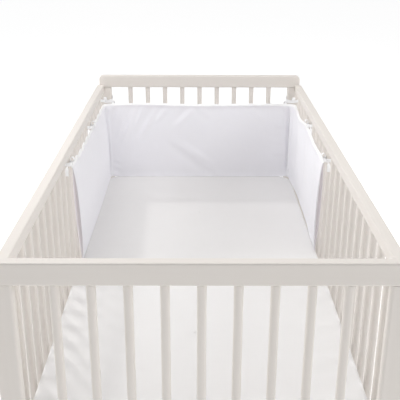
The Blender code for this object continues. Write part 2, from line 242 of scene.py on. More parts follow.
def edge_rub_and_highlight() -> bpy.types.NodeTree:
    """The group that finds the edges of a timber piece, in patches, where the paint is made lighter as a
    painted highlight and as wear.

    Returns:
        The node group, with the outputs Mask and Normal.
    """
    def build(graph: Graph, given: dict) -> dict:
        """Join the nodes that compare the softened normal with the face's own."""
        soft = graph.node("ShaderNodeBevel", {"Radius": given["Radius"]}, samples=4)
        face = graph.node("ShaderNodeNewGeometry")
        same = graph.node("ShaderNodeVectorMath", {0: soft.outputs[0], 1: face.outputs["True Normal"]},
                          operation="DOT_PRODUCT").outputs["Value"]
        edge = graph.spread(same, 0.97, 0.70)
        patch = graph.spread(graph.noise(given["Place"], 45.0, 5.0, 0.65), 0.42, 0.62)
        return {"Mask": graph.math("MULTIPLY", edge, patch), "Normal": soft.outputs[0]}

    return shared_group(
        "edge wear",
        [("Place", VECTOR, None), ("Radius", FLOAT, 0.002)],
        [("Mask", FLOAT), ("Normal", VECTOR)],
        build,
    )


def brushed_grain() -> bpy.types.NodeTree:
    """The group of brush marks and faint wood grain, from a place drawn out along the timber.

    Returns:
        The node group, with the outputs Tone and Height.
    """
    def build(graph: Graph, given: dict) -> dict:
        """Join the nodes of the grain and the brush marks."""
        grain = graph.noise(given["Drawn Place"], 1.0, 4.0, 0.6)
        brush = graph.noise(given["Drawn Place"], 6.0, 2.0, 0.5)
        tone = graph.spread(grain, 0.3, 0.7)
        height = graph.math("ADD", graph.math("MULTIPLY", grain, 0.6), graph.math("MULTIPLY", brush, 0.4))
        return {"Tone": tone, "Height": height}

    return shared_group(
        "brushed grain",
        [("Drawn Place", VECTOR, None)],
        [("Tone", FLOAT), ("Height", FLOAT)],
        build,
    )


def new_material(name: str) -> tuple[bpy.types.Material, Graph, bpy.types.Node]:
    """An empty material with its Principled shader.

    Args:
        name: Name of the material.

    Returns:
        The material, its graph and the shader.
    """
    material = bpy.data.materials.new(name)
    material.use_nodes = True
    return material, Graph(material.node_tree), material.node_tree.nodes["Principled BSDF"]


# Finishes

@dataclass(frozen=True)
class WovenCotton:
    """Plain woven cotton, matt, with a soft sheen."""

    name: str
    colour: Colour
    shade: Colour
    # Whiter tone of the top seam: a painted highlight where the seam catches the light
    seam: Colour = (0.960, 0.958, 0.965)
    # Darker lilac-grey on the back half of each end face: painted shade
    end: Colour = (0.640, 0.600, 0.635)
    thread: float = 0.0006
    relief: float = 0.00012
    roughness: float = 0.86
    sheen: float = 0.25

    def material(self) -> bpy.types.Material:
        """Build the cotton.

        Returns:
            The material, which reads each point's place on the cloth.
        """
        material, graph, shader = new_material(self.name)
        place = graph.node("ShaderNodeAttribute", attribute_name=CLOTH_AT).outputs["Vector"]
        body = graph.node("ShaderNodeTexCoord").outputs["Object"]
        threads = {"Place": place, "Thread": self.thread}
        weave = graph.node("ShaderNodeGroup", threads, node_tree=plain_weave())
        soil = graph.node("ShaderNodeGroup", {"Place": body}, node_tree=soft_variation())
        slub = graph.spread(weave.outputs["Slub"], 0.35, 0.65, 0.0, 0.45)
        depth = graph.math("ADD", graph.math("MULTIPLY", soil.outputs["Mask"], 0.55), slub)
        cover = graph.blend(depth, opaque(self.colour), opaque(self.shade))
        # Painted highlight along the top seam
        lit_seam = graph.node("ShaderNodeAttribute", attribute_name=SEAM_HIGHLIGHT).outputs["Fac"]
        # Painted shade on the back half of each end face
        shaded_end = graph.node("ShaderNodeAttribute", attribute_name=END_SHADE).outputs["Fac"]
        cover = graph.blend(shaded_end, cover, opaque(self.end))
        graph.feed(shader.inputs["Base Color"], graph.blend(lit_seam, cover, opaque(self.seam)))
        rough = graph.spread(weave.outputs["Height"], 0.0, 1.0, self.roughness + 0.06, self.roughness - 0.04)
        graph.feed(shader.inputs["Roughness"], rough)
        shader.inputs["Sheen Weight"].default_value = self.sheen
        shader.inputs["Sheen Roughness"].default_value = 0.5
        shader.inputs["Specular IOR Level"].default_value = 0.3
        bump = graph.node("ShaderNodeBump", {"Height": weave.outputs["Height"], "Distance": self.relief,
                                             "Strength": 0.6})
        graph.feed(shader.inputs["Normal"], bump.outputs[0])
        return material


class Grain(Enum):
    """The way the timber's grain and brush marks run, as lumps per metre along each axis."""

    ALONG_X = (2.5, 70.0, 70.0)
    ALONG_Y = (70.0, 2.5, 70.0)
    ALONG_Z = (70.0, 70.0, 2.5)


@dataclass(frozen=True)
class PaintedTimber:
    """Satin paint on timber, with brush marks along the grain, and lighter edges that are a painted highlight
    as well as wear.
    """

    name: str
    grain: Grain
    colour: Colour = (0.750, 0.709, 0.668)
    shade: Colour = (0.714, 0.669, 0.624)
    # Lighter tone at the edges: painted highlight, in patches like wear
    worn_and_lit: Colour = (0.800, 0.770, 0.730)
    roughness: float = 0.44
    relief: float = 0.00010

    def material(self) -> bpy.types.Material:
        """Build the paint.

        Returns:
            The material.
        """
        material, graph, shader = new_material(self.name)
        body = graph.node("ShaderNodeTexCoord").outputs["Object"]
        drawn = graph.scaled(body, self.grain.value)
        grain = graph.node("ShaderNodeGroup", {"Drawn Place": drawn}, node_tree=brushed_grain())
        wear_and_highlight = graph.node("ShaderNodeGroup", {"Place": body}, node_tree=edge_rub_and_highlight())
        soil = graph.node("ShaderNodeGroup", {"Place": body}, node_tree=soft_variation())
        tone = graph.math("MULTIPLY", graph.math("ADD", grain.outputs["Tone"], soil.outputs["Mask"]), 0.4)
        paint = graph.blend(tone, opaque(self.colour), opaque(self.shade))
        # Edges painted lighter: painted highlight, in patches like wear
        worn_and_lit = graph.blend(graph.math("MULTIPLY", wear_and_highlight.outputs["Mask"], 0.6), paint, opaque(self.worn_and_lit))
        graph.feed(shader.inputs["Base Color"], worn_and_lit)
        rough = graph.spread(grain.outputs["Height"], 0.3, 0.7, self.roughness - 0.05, self.roughness + 0.08)
        graph.feed(shader.inputs["Roughness"], rough)
        bump = graph.node("ShaderNodeBump", {"Height": grain.outputs["Height"], "Distance": self.relief,
                                             "Strength": 0.5, "Normal": wear_and_highlight.outputs["Normal"]})
        graph.feed(shader.inputs["Normal"], bump.outputs[0])
        return material


@dataclass(frozen=True)
class StudioFloor:
    """The plain pale floor, with a glow of its own that makes it read white."""

    name: str = "studio_floor"
    colour: Colour = (0.93, 0.93, 0.93)
    glow: float = 0.56

    def material(self) -> bpy.types.Material:
        """Build the floor's finish.

        Returns:
            The material.
        """
        material, graph, shader = new_material(self.name)
        body = graph.node("ShaderNodeTexCoord").outputs["Object"]
        rough = graph.spread(graph.noise(body, 2.0), 0.3, 0.7, 0.72, 0.80)
        graph.feed(shader.inputs["Roughness"], rough)
        shader.inputs["Base Color"].default_value = opaque(self.colour)
        shader.inputs["Emission Color"].default_value = opaque(self.colour)
        shader.inputs["Emission Strength"].default_value = self.glow
        return material


# Meshes

def to_scene(name: str, data: bpy.types.ID) -> bpy.types.Object:
    """Make an object of a mesh, light or camera, and link it to the scene.

    Args:
        name: Name of the object.
        data: Its mesh, light or camera.

    Returns:
        The new object.
    """
    thing = bpy.data.objects.new(name, data)
    bpy.context.scene.collection.objects.link(thing)
    return thing


def mesh_object(name: str, points: np.ndarray, faces: Sequence[Sequence[int]],
                material: bpy.types.Material, cloth_at: np.ndarray | None = None) -> bpy.types.Object:
    """Make a smooth mesh object in the scene.

    Args:
        name: Name of the piece.
        points: Points, one row each.
        faces: Point numbers of each face.
        material: Finish of the piece.
        cloth_at: Each point's place on the flat cloth, in metres.

    Returns:
        The new object.
    """
    mesh = bpy.data.meshes.new(name)
    mesh.from_pydata(points.tolist(), [], [list(face) for face in faces])
    mesh.validate()
    mesh.materials.append(material)
    mesh.shade_smooth()
    if cloth_at is not None:
        spots = np.zeros((len(points), 3), np.float32)
        spots[:, :2] = cloth_at
        layer = mesh.attributes.new(CLOTH_AT, "FLOAT_VECTOR", "POINT")
        layer.data.foreach_set("vector", spots.ravel())
    return to_scene(name, mesh)


def ring_faces(rows: int, around: int) -> list[tuple[int, int, int, int]]:
    """Faces between rings of points that follow one another.

    Args:
        rows: Number of rings.
        around: Points in each ring.

    Returns:
        The faces, as point numbers.
    """
    faces = []
    for row in range(rows - 1):
        for k in range(around):
            after = (k + 1) % around
            start, ahead = row * around, (row + 1) * around
            faces.append((start + k, start + after, ahead + after, ahead + k))
    return faces


def closed_faces(rows: int, around: int) -> list[tuple[int, ...]]:
    """Faces between rings of points, with one more over each end.

    Args:
        rows: Number of rings.
        around: Points in each ring.

    Returns:
        The faces, as point numbers.
    """
    last = (rows - 1) * around
    return [*ring_faces(rows, around), tuple(range(around))[::-1], tuple(range(last, last + around))]


def eased(table: Table, places: np.ndarray) -> np.ndarray:
    """Read a table of (place, value) rows, easing from each row to the next.

    Args:
        table: Rows of place and value.
        places: Where to read it.

    Returns:
        A value for each place.
    """
    ends = np.array([row[0] for row in table])
    values = np.array([row[1] for row in table])
    held = np.clip(places, ends[0], ends[-1])
    step = np.clip(np.searchsorted(ends, held, side="right") - 1, 0, len(ends) - 2)
    share = (held - ends[step]) / (ends[step + 1] - ends[step])
    return values[step] + (values[step + 1] - values[step]) * share * share * (3.0 - 2.0 * share)


# Bumper

@dataclass(frozen=True)
class Run:
    """The line along the bumper's back: left side, corner, head, corner, right side."""

    back_half: float
    back_head: float
    left_end: float
    right_end: float = 0.073
    corner: float = 0.030

    @property
    def left(self) -> float:
        """Length of the left side."""
        return self.back_head - self.corner - self.left_end

    @property
    def turn(self) -> float:
        """Length round one corner."""
        return math.pi / 2 * self.corner

    @property
    def head(self) -> float:
        """Length of the head side between the corners."""
        return 2 * (self.back_half - self.corner)

    @property
    def total(self) -> float:
        """Length from end to end."""
        return self.left + 2 * self.turn + self.head + self.back_head - self.corner - self.right_end

    def on_corner(self, side: int, out: tuple[float, float]) -> tuple[Point, Point]:
        """A point of a rounded corner, and the way into the room there.

        Args:
            side: -1 for the left corner, 1 for the right one.
            out: Unit direction from the middle of the corner's arc.

        Returns:
            The point and the unit direction.
        """
        middle = (side * (self.back_half - self.corner), self.back_head - self.corner)
        point = (middle[0] + self.corner * out[0], middle[1] + self.corner * out[1], 0.0)
        return point, (-out[0], -out[1], 0.0)

    def at(self, place: float) -> tuple[Point, Point]:
        """A point of the line, and the way into the room there.

        Args:
            place: Distance along the line from the left end.

        Returns:
            The point and the unit direction.
        """
        if place <= self.left:
            return (-self.back_half, self.left_end + place, 0.0), (1.0, 0.0, 0.0)
        place -= self.left
        if place <= self.turn:
            angle = place / self.corner
            return self.on_corner(-1, (-math.cos(angle), math.sin(angle)))
        place -= self.turn
        if place <= self.head:
            return (self.corner - self.back_half + place, self.back_head, 0.0), (0.0, -1.0, 0.0)
        place -= self.head
        if place <= self.turn:
            angle = place / self.corner
            return self.on_corner(1, (math.sin(angle), math.cos(angle)))
        place -= self.turn
        return (self.back_half, self.back_head - self.corner - place, 0.0), (-1.0, 0.0, 0.0)


# Heights of the top seam above its middle height, along the run
TOP_LINE: Table = (
    (0.000, 0.012), (0.060, 0.008), (0.140, 0.001), (0.380, -0.001), (0.690, 0.000), (0.850, 0.002),
    (1.050, -0.002), (1.250, 0.001), (1.410, 0.000), (1.530, -0.014), (1.700, 0.007), (1.860, -0.005),
    (2.030, 0.002),
)

# How far the bottom seam stands in from the back line
FOOT_LINE: Table = (
    (0.000, 0.017), (0.400, 0.019), (0.690, 0.018), (1.050, 0.017), (1.400, 0.015), (1.600, 0.006),
    (1.800, 0.007), (1.950, 0.012), (2.030, 0.013),
)

# Where a section has points near its seams: distances down from the top and up from the bottom
TOP_STEPS = (0.0, 0.0012, 0.0030, 0.0046, 0.0060, 0.0068, 0.0082, 0.0105, 0.0140, 0.0190)
FOOT_STEPS = (0.0, 0.0015, 0.0030, 0.0042, 0.0065, 0.0100, 0.0150)

# Main folds of the front: place, height share, width, depth and lean
FOLDS = (
    (0.180, 0.10, 0.060, 0.0020, 0.10),
    (0.470, -0.10, 0.070, 0.0025, -0.15),
    (0.840, 0.25, 0.045, 0.0030, 0.70),
    (0.990, -0.20, 0.060, 0.0025, 0.90),
    (1.200, 0.10, 0.080, 0.0020, -0.40),
    (1.520, 0.15, 0.030, 0.0050, 0.05),
    (1.610, -0.05, 0.035, -0.0040, 0.00),
    (1.700, 0.10, 0.028, 0.0055, -0.05),
    (1.800, -0.10, 0.032, -0.0040, 0.05),
    (1.890, 0.10, 0.028, 0.0055, 0.00),
    (1.960, -0.20, 0.022, 0.0035, 0.05),
)


@dataclass(frozen=True)
class Crease:
    """One pulled crease of the cover, as a ridge with a trough beside it."""

    start: tuple[float, float]
    end: tuple[float, float]
    width: float
    rise: float
    reach: float = 0.15
    trough: float = 0.65
    trough_away: float = 1.7
    trough_width: float = 1.3

    def depth(self, places: np.ndarray, levels: np.ndarray, half_high: float) -> np.ndarray:
        """How far the crease lifts the front.

        Args:
            places: Distances along the run, as a column.
            levels: Heights from -1 to 1, as a row.
            half_high: Half the height of the bumper.

        Returns:
            A depth for each point, positive into the room.
        """
        start = np.array([self.start[0], self.start[1] * half_high])
        way = np.array([self.end[0], self.end[1] * half_high]) - start
        length = float(np.hypot(*way))
        way /= length
        over, up = places - start[0], levels * half_high - start[1]
        along = (over * way[0] + up * way[1]) / length
        side = (over * way[1] - up * way[0]) / self.width
        near = (along > -self.reach) & (along < 1.0 + self.reach)
        taper = np.where(near, np.sin(math.pi * (np.clip(along, 0.0, 1.0) * 0.8 + 0.1)), 0.0)
        past = np.clip(np.maximum(-along, along - 1.0), 0.0, 1.0) * length / self.width
        trough = self.trough * np.exp(-np.square((side - self.trough_away) / self.trough_width))
        return self.rise * (np.exp(-side * side) - trough) * taper * np.exp(-np.square(past))


# Creases by their ends: place along the run, and height from -1 at the bottom seam to 1 at the top one
HEAD_CREASES = (
    Crease((0.741, 0.92), (0.728, 0.66), 0.007, 0.0030),
    Crease((0.760, 0.58), (0.738, 0.10), 0.008, 0.0034),
    Crease((0.806, 0.92), (0.756, 0.00), 0.010, 0.0056),
    Crease((0.833, 0.95), (0.808, 0.46), 0.008, 0.0036),
    Crease((0.887, 0.92), (0.816, 0.04), 0.011, 0.0056),
    Crease((0.922, 0.90), (0.880, 0.54), 0.009, 0.0036),
    Crease((1.031, 0.99), (0.950, 0.38), 0.010, 0.0044),
    Crease((1.034, 0.99), (1.090, 0.66), 0.010, 0.0022),
    Crease((0.938, 0.06), (1.118, -0.92), 0.014, 0.0030),
    Crease((0.978, -0.02), (1.100, -0.66), 0.011, 0.0020),
    Crease((1.243, 0.86), (1.290, 0.58), 0.010, 0.0016),
    Crease((0.724, -0.50), (0.752, -0.64), 0.007, 0.0018),
    Crease((0.722, -0.68), (0.746, -0.80), 0.007, 0.0016),
    Crease((1.318, 0.46), (1.386, 0.42), 0.008, 0.0014),
    Crease((1.300, 0.05), (1.386, -0.02), 0.009, 0.0014),
    Crease((1.310, -0.30), (1.386, -0.36), 0.009, 0.0012),
)


@dataclass(frozen=True)
class Filling:
    """The cloth simulation that lets a cover swell over its filling."""

    frames: int = 20
    quality: int = 6
    mass: float = 0.25
    stretch: float = 18.0
    shear: float = 6.0
    bending: float = 0.6
    pressure: float = 3.0
    shrink: float = -0.018

    def settle(self, cover: bpy.types.Object, held: np.ndarray) -> np.ndarray:
        """Run the simulation.

        Args:
            cover: The cover.
            held: Whether each of its points is held by a seam.

        Returns:
            Where the points come to lie, one row each.
        """
        pins = cover.vertex_groups.new(name="seams")
        pins.add(np.flatnonzero(held).tolist(), 1.0, "REPLACE")
        cloth = cover.modifiers.new("filling", "CLOTH")
        settings = cloth.settings
        settings.quality = self.quality
        settings.mass = self.mass
        settings.tension_stiffness = self.stretch
        settings.compression_stiffness = self.stretch
        settings.shear_stiffness = self.shear
        settings.bending_stiffness = self.bending
        settings.use_pressure = True
        settings.uniform_pressure_force = self.pressure
        settings.shrink_min = self.shrink
        settings.vertex_group_mass = pins.name
        settings.effector_weights.gravity = 0.0
        cloth.collision_settings.use_collision = False
        cloth.point_cache.frame_start = 1
        cloth.point_cache.frame_end = self.frames
        scene = bpy.context.scene
        for number in range(1, self.frames + 1):
            scene.frame_set(number)
        done = cover.evaluated_get(bpy.context.evaluated_depsgraph_get())
        places = np.zeros(len(cover.data.vertices) * 3)
        done.data.vertices.foreach_get("co", places)
        scene.frame_set(1)
        return places.reshape(-1, 3)


@dataclass
class BumperPad:
    """The padded cotton bumper: a filled cover with a flat seam along its top, and two sewn folds."""

    run: Run
    low: float
    seam_height: float = 0.745
    thick: float = 0.0185
    seam: float = 0.0026
    flange: float = 0.006
    flange_lean: float = 0.0040
    foot_flange: float = 0.0015
    lean: float = 0.005
    end_round: float = 0.018
    end_bias: float = 0.50
    crown_flat: float = 2.6
    crown_power: float = 0.75
    fold_run: float = 0.1
    corner_depth: float = 0.0125
    corner_width: float = 0.0045
    corner_shift: tuple[float, float] = (-0.010, -0.016)
    scallop: float = 0.007
    scallop_dip: float = 0.6
    puff: float = 0.005
    back_puff: float = 0.0012
    margin: float = 0.001
    foot_gap: float = 0.0200
    top_gap: float = 0.0240
    fold_near: float = 0.022
    fine_steps: tuple[float, float] = (0.0045, 0.0052)
    coarse_steps: tuple[float, float] = (0.009, 0.010)
    stitch_pitch: float = 0.0034
    stitch_long: float = 0.0025
    stitch_radius: float = 0.0003
    stitch_lift: float = 0.00025
    stitch_below: float = 0.0052
    stitch_from_end: float = 0.010
    stitch_from_foot: float = 0.008
    stitch_spare: float = 0.020
    filling: Filling = Filling()
    cotton: WovenCotton = WovenCotton("bumper_cotton", (0.880, 0.874, 0.908), (0.847, 0.840, 0.875))
    thread: WovenCotton = WovenCotton(
        "bumper_thread", (0.90, 0.895, 0.915), (0.84, 0.835, 0.86), thread=0.0003)

    @property
    def high(self) -> float:
        """Height of the bumper from seam to seam."""
        return self.seam_height - self.low

    def places(self, step: float) -> np.ndarray:
        """Distances along the run where sections are drawn, closer together at the ends and folds.

        Args:
            step: Distance between sections on the plain stretches.

        Returns:
            The places, rising.
        """
        total = self.run.total
        ends = self.end_round * (1.0 - np.cos(np.linspace(0.0, math.pi / 2, 9)))
        marks = [ends, total - ends, np.linspace(self.end_round, total - self.end_round, round(total / step))]
        for fold in self.corner_places():
            count = max(5, round(2 * self.fold_near / step * 2.2))
            marks.append(fold + np.linspace(-self.fold_near, self.fold_near, count))
        places = np.unique(np.round(np.concatenate(marks), 6))
        keep = np.concatenate([[True], np.diff(places) > min(step * 0.25, 0.0004)])
        return places[keep]

    def corner_places(self) -> tuple[float, float]:
        """Where the two sewn folds stand along the run."""
        first = self.run.left + self.run.turn / 2
        return first + self.corner_shift[0], first + self.run.turn + self.run.head + self.corner_shift[1]

    def levels(self, step: float) -> np.ndarray:
        """Shares of the height where the section has points, closer together at the seams.

        Args:
            step: Distance between points on the plain stretch.

        Returns:
            The shares, from 0 at the bottom seam to 1 at the top one.
        """
        highest = self.high - self.top_gap
        middle = np.linspace(self.foot_gap, highest, round((highest - self.foot_gap) / step))
        return np.unique(np.concatenate([FOOT_STEPS, middle, self.high - np.array(TOP_STEPS)])) / self.high

    def folds(self, places: np.ndarray, levels: np.ndarray) -> np.ndarray:
        """How far the front stands out from its plain crown, by its folds, creases and corner seams.

        Args:
            places: Distances along the run, as a column.
            levels: Heights from -1 to 1, as a row.

        Returns:
            A depth for each point, positive into the room.
        """
        depth = np.zeros(np.broadcast(places, levels).shape)
        for place, share, width, fold, lean in FOLDS:
            away = (places - place - lean * self.fold_run * (levels - share)) / width
            depth -= fold * np.exp(-away * away) * (1.0 - levels * levels)
        for crease in HEAD_CREASES:
            depth += crease.depth(places, levels, self.high / 2)
        for place in self.corner_places():
            away = (places - place) / self.corner_width
            depth -= self.corner_depth * np.exp(-np.abs(away) ** 1.4) * (1.0 - np.abs(levels) ** 8)
        return depth

    def scallops(self, places: np.ndarray) -> np.ndarray:
        """How far the left side's top seam rises between its slats, and dips where it is pulled to one.

        Args:
            places: Distances along the run.

        Returns:
            A height for each place, nothing past the left side.
        """
        on_side = np.clip((self.run.left - places) / SLAT_PITCH, 0.0, 1.0)
        bulge = np.abs(np.sin(math.pi * (places + self.run.left_end) / SLAT_PITCH))
        return self.scallop * on_side * (bulge - self.scallop_dip)

    def shape(self, places: np.ndarray, shares: np.ndarray) -> tuple[np.ndarray, np.ndarray]:
        """Points of the front and of the back.

        Args:
            places: Distances along the run.
            shares: Shares of the height.

        Returns:
            Front and back points, each by place, share and axis.
        """
        lines = [self.run.at(float(place)) for place in places]
        origin = np.array([line[0] for line in lines])[:, None, :]
        inward = np.array([line[1] for line in lines])[:, None, :]
        column = places[:, None]
        top = self.seam_height + eased(TOP_LINE, places)[:, None] + self.scallops(column)
        foot = eased(FOOT_LINE, places)[:, None]
        height = self.low + (top - self.low) * shares[None, :]
        high = self.high
        filled = (shares * high - self.foot_flange) / (high - self.flange - self.foot_flange)
        level = np.clip(2.0 * filled - 1.0, -1.0, 1.0)[None, :]
        crown = np.maximum(0.0, 1.0 - np.abs(level) ** self.crown_flat) ** self.crown_power
        to_end = np.minimum(column, self.run.total - column)
        inset = np.clip(1.0 - to_end / self.end_round, 0.0, 1.0)
        fullness = np.sqrt(np.maximum(0.0, 1.0 - inset * inset))
        plain = 2.0 * shares[None, :] - 1.0
        middle = (foot + self.lean) / 2 + plain * (self.lean - foot) / 2
        on_flange = np.clip((shares * high - (high - self.flange)) / self.flange, 0.0, 1.0)[None, :]
        middle = middle - self.flange_lean * on_flange
        full = (self.thick - self.seam) / 2 * crown
        half = self.seam / 2 + full * fullness
        pull = full * (1.0 - fullness) * self.end_bias * 2.0
        in_front = middle + half + pull + self.folds(column, level) * np.sqrt(crown) * fullness
        behind = np.maximum(middle - half + pull, 0.0)
        in_front = np.maximum(in_front, behind + self.seam)
        upright = np.zeros((1, 1, 3)) + np.array([0.0, 0.0, 1.0])
        front = origin + inward * in_front[:, :, None] + upright * height[:, :, None]
        back = origin + inward * behind[:, :, None] + upright * height[:, :, None]
        return front, back

    def rings(self, places: np.ndarray, shares: np.ndarray) -> np.ndarray:
        """The closed ring of points at each place: up the front and down the back."""
        front, back = self.shape(places, shares)
        return np.concatenate([front, back[:, ::-1]], axis=1)

    def swelling(self, places: np.ndarray, shares: np.ndarray) -> np.ndarray:
        """How far the filling pushes the cover, from a cloth simulation on a coarser cover.

        Args:
            places: Distances along the run of the fine cover.
            shares: Shares of the height of the fine cover.

        Returns:
            A move for each point of the fine rings.
        """
        coarse_places = self.places(self.coarse_steps[0])
        coarse_shares = self.levels(self.coarse_steps[1])
        rings = self.rings(coarse_places, coarse_shares)
        rows, around = rings.shape[:2]
        start = rings.reshape(-1, 3)
        plain = bpy.data.materials.new("cover_cloth")
        cover = mesh_object("cover_cloth", start, closed_faces(rows, around), plain)
        count = len(coarse_shares)
        height = coarse_shares * self.high
        at_foot = height < self.foot_flange + self.margin
        at_top = height > height[-1] - self.flange - self.margin
        held = np.zeros((rows, around), bool)
        held |= np.concatenate([at_foot | at_top, (at_foot | at_top)[::-1]])[None, :]
        held[:2] = True
        held[-2:] = True
        move = (self.filling.settle(cover, held.ravel()) - start).reshape(rows, around, 3)
        bpy.data.objects.remove(cover, do_unlink=True)
        front, back = move[:, :count], move[:, count:][:, ::-1]
        fine = []
        for side, limit in ((front, self.puff), (back, self.back_puff)):
            size = np.linalg.norm(side, axis=2, keepdims=True)
            side = side * np.minimum(1.0, limit / np.maximum(size, 1e-9))
            fine.append(self.resample(side, coarse_places, coarse_shares, places, shares))
        LOG.info("cover settled: largest move %.1f mm", 1000.0 * float(np.linalg.norm(move, axis=2).max()))
        return np.concatenate([fine[0], fine[1][:, ::-1]], axis=1)

    @staticmethod
    def resample(field: np.ndarray, from_places: np.ndarray, from_shares: np.ndarray,
                 places: np.ndarray, shares: np.ndarray, passes: int = 3) -> np.ndarray:
        """Read a field of moves on another grid, and smooth it there.

        Args:
            field: Moves by place, share and axis.
            from_places: Places of the field.
            from_shares: Shares of the field.
            places: Places wanted.
            shares: Shares wanted.
            passes: Times that it is smoothed.

        Returns:
            The field on the wanted grid.
        """
        rows = np.stack([[np.interp(shares, from_shares, line[:, axis]) for axis in range(3)]
                         for line in field])
        whole = np.stack([[np.interp(places, from_places, rows[:, axis, k]) for axis in range(3)]
                          for k in range(len(shares))])
        whole = whole.transpose(2, 0, 1)
        for _ in range(passes):
            whole[1:-1] = 0.25 * whole[:-2] + 0.5 * whole[1:-1] + 0.25 * whole[2:]
            whole[:, 1:-1] = 0.25 * whole[:, :-2] + 0.5 * whole[:, 1:-1] + 0.25 * whole[:, 2:]
        return whole

    def build(self) -> list[bpy.types.Object]:
        """Build the pad and its stitching.

        Returns:
            The pad and the stitching.
        """
        places = self.places(self.fine_steps[0])
        shares = self.levels(self.fine_steps[1])
        rings = self.rings(places, shares)
        rings = rings + self.swelling(places, shares)
        rings[:, :, 2] = np.maximum(rings[:, :, 2], self.low)
        rows, around = rings.shape[:2]
        faces = ring_faces(rows, around)
        half = around // 2
        last = (rows - 1) * around
        for k in range(half - 1):
            twin = around - 1 - k
            faces.append((k + 1, k, twin, twin - 1))
            faces.append((last + k, last + k + 1, last + twin - 1, last + twin))
        across = np.concatenate([shares * self.high, (2.0 - shares[::-1]) * self.high])
        spots = np.stack(np.broadcast_arrays(places[:, None], across[None, :]), axis=2).reshape(-1, 2)
        pad = mesh_object("bumper_pad", rings.reshape(-1, 3), faces, self.cotton.material(), spots)
        self.mark(pad, places, shares)
        stitching = self.stitching(places, shares, rings[:, :half])
        return [pad, stitching]

    def mark(self, pad: bpy.types.Object, places: np.ndarray, shares: np.ndarray) -> None:
        """Mark where the top seam is painted whiter, as a painted highlight, and where the back half of each
        end face is painted lilac-grey, as painted shade.

        Args:
            pad: The pad.
            places: Distances along the run.
            shares: Shares of the height.
        """
        # The top seam painted whiter, as a painted highlight
        below = self.high - self.flange - self.margin
        top = np.clip((shares * self.high - below) / self.margin, 0.0, 1.0)
        seam = np.tile(np.concatenate([top, top[::-1]]), (len(places), 1))
        # The back half of each end face painted lilac-grey, as painted shade
        to_end = np.minimum(places, self.run.total - places)
        at_end = np.clip((self.end_round - to_end) / self.margin, 0.0, 1.0)[:, None]
        behind = np.concatenate([np.zeros(len(shares)), np.ones(len(shares))])[None, :]
        for name, values in ((SEAM_HIGHLIGHT, seam), (END_SHADE, at_end * behind)):
            layer = pad.data.attributes.new(name, "FLOAT", "POINT")
            layer.data.foreach_set("value", values.astype(np.float32).ravel())

    def stitching(self, places: np.ndarray, shares: np.ndarray, front: np.ndarray) -> bpy.types.Object:
        """The rows of stitches: under the top seam, and down the two corner folds.

        Args:
            places: Distances along the run.
            shares: Shares of the height.
            front: Points of the front by place, share and axis.

        Returns:
            The stitches as one piece.
        """
        out = np.zeros_like(front)
        out[:] = np.array([self.run.at(float(place))[1] for place in places])[:, None, :]

        def on_front(place: float, share: float) -> np.ndarray:
            """A point of the front at a place and a share of the height."""
            k = int(np.clip(np.searchsorted(places, place), 1, len(places) - 1))
            j = int(np.clip(np.searchsorted(shares, share), 1, len(shares) - 1))
            a = (place - places[k - 1]) / (places[k] - places[k - 1])
            b = (share - shares[j - 1]) / (shares[j] - shares[j - 1])
            block = front[k - 1:k + 1, j - 1:j + 1]
            lift = out[k, j] * self.stitch_lift
            return (1 - a) * ((1 - b) * block[0, 0] + b * block[0, 1]) \
                + a * ((1 - b) * block[1, 0] + b * block[1, 1]) + lift

        pitch, stitch, high = self.stitch_pitch, self.stitch_long, self.high
        ends: list[tuple[np.ndarray, np.ndarray]] = []
        top = 1.0 - self.stitch_below / high
        for number in range(int((self.run.total - self.stitch_spare) / pitch)):
            start = self.stitch_from_end + number * pitch
            ends.append((on_front(start, top), on_front(start + stitch, top)))
        for fold in self.corner_places():
            for number in range(int((high - self.stitch_spare) / pitch)):
                start = (self.stitch_from_foot + number * pitch) / high
                ends.append((on_front(fold, start), on_front(fold, start + stitch / high)))
        return thread_stitches("bumper_stitching", ends, self.stitch_radius, self.thread.material())


def thread_stitches(name: str, ends: Sequence[tuple[np.ndarray, np.ndarray]], radius: float,
                    material: bpy.types.Material) -> bpy.types.Object:
    """Many stitches as one piece, each a short thread with pointed ends.

    Args:
        name: Name of the piece.
        ends: First and last point of each stitch.
        radius: Half the thread's thickness.
        material: Finish of the thread.

    Returns:
        The stitches.
    """
    points, faces, spots = [], [], []
    for first, last in ends:
        way = last - first
        length = float(np.linalg.norm(way))
        way = way / length
        side = np.cross(way, (0.0, 0.0, 1.0) if abs(way[2]) < 0.9 else (1.0, 0.0, 0.0))
        side /= np.linalg.norm(side)
        up = np.cross(side, way)
        base = len(points)
        points += [first, last]
        spots += [(0.0, 0.0), (length, 0.0)]
        for share in (0.2, 0.8):
            for k in range(4):
                angle = math.pi / 2 * k
                offset = radius * (math.cos(angle) * side + math.sin(angle) * up)
                points.append(first + way * length * share + offset)
                spots.append((length * share, radius * k))
        for k in range(4):
            after = (k + 1) % 4
            faces.append((base, base + 2 + after, base + 2 + k))
            faces.append((base + 2 + k, base + 2 + after, base + 6 + after, base + 6 + k))
            faces.append((base + 1, base + 6 + k, base + 6 + after))
    return mesh_object(name, np.array(points), faces, material, np.array(spots))


# Mattress

